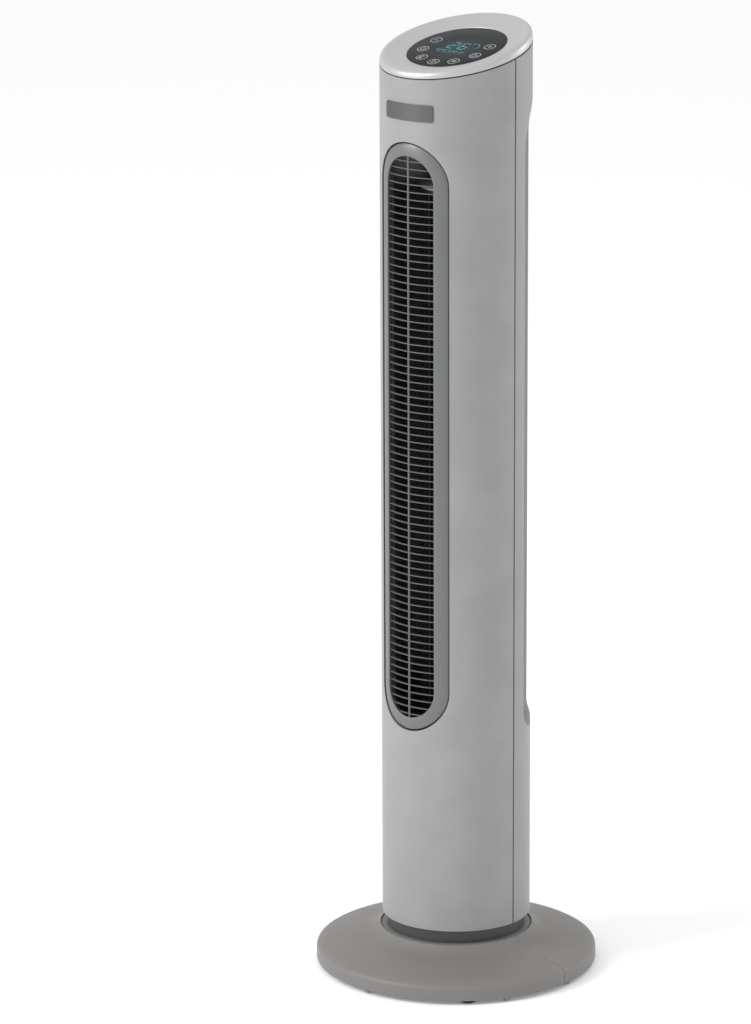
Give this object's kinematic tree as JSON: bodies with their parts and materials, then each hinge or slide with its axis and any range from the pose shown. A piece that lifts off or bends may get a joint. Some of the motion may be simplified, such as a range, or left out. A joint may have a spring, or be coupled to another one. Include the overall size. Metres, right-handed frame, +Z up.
{
  "type": "tower fan",
  "caption": "Slim round oscillating tower fan: tall ribbed air outlet, slanted silver cap with touch panel, and a wide round low base.",
  "frame": {"origin": "on the floor under the centre of the round base", "axes": "+Z up along the tower's axis; the air outlet faces -Y, +X is to the right of a viewer who faces the outlet"},
  "size_m": [0.3, 0.3, 1.0144],
  "materials": {
    "shell_plastic": "fine linen texture, light grey",
    "bezel_plastic": "smooth satin grey",
    "grille_plastic": "satin mid grey",
    "base_plastic": "warm grey, very fine grain",
    "collar_plastic": "dark satin grey",
    "badge_metal": "blank grey plate, satin",
    "cap_metal": "silver, satin",
    "panel_gloss": "glossy charcoal",
    "impeller_plastic": "black moulded",
    "duct_plastic": "black moulded",
    "steel": "zinc-plated",
    "rubber": "matt black",
    "gear_plastic": "natural acetal",
    "circuit_board": "green board with parts"
  },
  "bodies": {
    "base": {"base_front_half": "base_plastic", "base_rear_half": "base_plastic", "base_weight_plate": "steel", "cord_inlet": "rubber", "foot_1": "rubber", "foot_2": "rubber", "foot_3": "rubber", "foot_4": "rubber", "base_screw_1": "steel", "base_screw_2": "steel", "base_screw_3": "steel", "base_screw_4": "steel", "base_screw_5": "steel", "base_screw_6": "steel", "base_screw_7": "steel", "swivel_hub": "gear_plastic", "hub_lock_nut": "duct_plastic", "gear_ring": "gear_plastic", "glide_ring": "gear_plastic", "hub_retainer": "steel"},
    "tower": {"swivel_collar": "collar_plastic", "turntable_plate": "steel", "swing_motor": "steel", "front_shell": "shell_plastic", "rear_shell": "shell_plastic", "shell_screw_1": "steel", "shell_screw_2": "steel", "shell_screw_3": "steel", "shell_screw_4": "steel", "front_bezel": "bezel_plastic", "outlet_grille": "grille_plastic", "intake_grille": "grille_plastic", "hand_grip": "grille_plastic", "lower_end_wall": "duct_plastic", "upper_end_wall": "duct_plastic", "duct_scroll": "duct_plastic", "duct_tongue": "duct_plastic", "bearing_bush": "steel", "motor_cup": "duct_plastic", "fan_motor": "steel", "mains_board": "circuit_board", "control_cable": "rubber", "touch_board": "circuit_board", "display_module": "panel_gloss", "top_cap_ring": "cap_metal", "control_panel": "panel_gloss", "badge_plate": "badge_metal"},
    "impeller": {"impeller_drum": "impeller_plastic", "drive_coupling": "rubber", "motor_shaft": "steel", "bearing_pin": "steel"},
    "pinion": {"drive_pinion": "gear_plastic"}
  },
  "joints": [
    {"name": "tower_swing", "type": "hinge", "parent": "base", "child": "tower", "pos_m": [0, 0, 0.05], "axis": [0, 0, 1], "range_deg": [-45, 45]},
    {"name": "impeller_spin", "type": "hinge", "parent": "tower", "child": "impeller", "pos_m": [0, 0.01, 0.5], "axis": [0, 0, 1], "continuous": true},
    {"name": "pinion_spin", "type": "hinge", "parent": "tower", "child": "pinion", "pos_m": [0.04512, 0, 0.037], "axis": [0, 0, 1], "range_deg": [-185, 185]}
  ],
  "couplings": [
    {"joint": "pinion_spin", "follows": "tower_swing", "ratio": 4}
  ]
}
